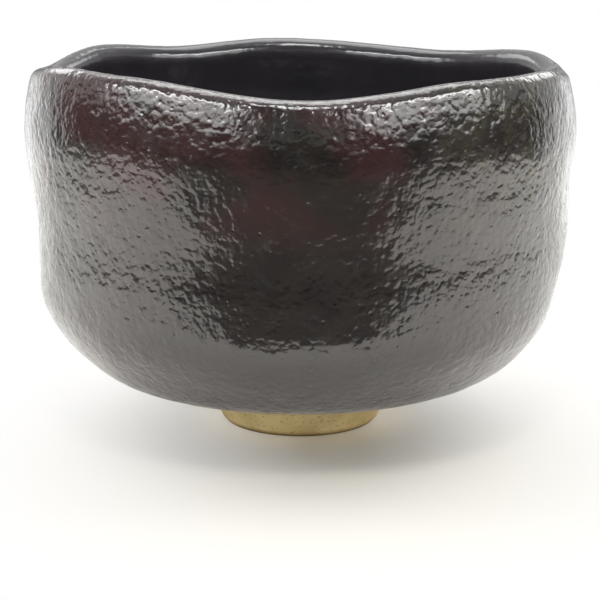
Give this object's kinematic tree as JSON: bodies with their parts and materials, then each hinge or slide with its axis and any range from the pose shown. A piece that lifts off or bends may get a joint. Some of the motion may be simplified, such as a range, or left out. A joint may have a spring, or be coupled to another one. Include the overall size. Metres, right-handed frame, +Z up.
{
  "type": "tea bowl",
  "caption": "Hand-formed black-glazed tea bowl with a wandering lip, rounded hip and a bare clay foot ring.",
  "frame": {"origin": "middle of the foot ring's contact face, on the surface the bowl stands on", "axes": "+Z up through the bowl, -Y towards the front side, which is the side in the picture; +X to the viewer's right"},
  "size_m": [0.1206, 0.1194, 0.0821],
  "materials": {
    "bare_clay": "bare ochre biscuit clay, matt and slightly sandy",
    "black_glaze": "thick lustrous black glaze with a fine crinkled orange-peel surface",
    "black_glaze_inside": "smoother and softer black glaze inside the bowl"
  },
  "bodies": {
    "root": {"clay_body": "bare_clay", "foot_ring": "bare_clay", "outer_glaze": "black_glaze", "inner_glaze": "black_glaze_inside"}
  },
  "joints": []
}
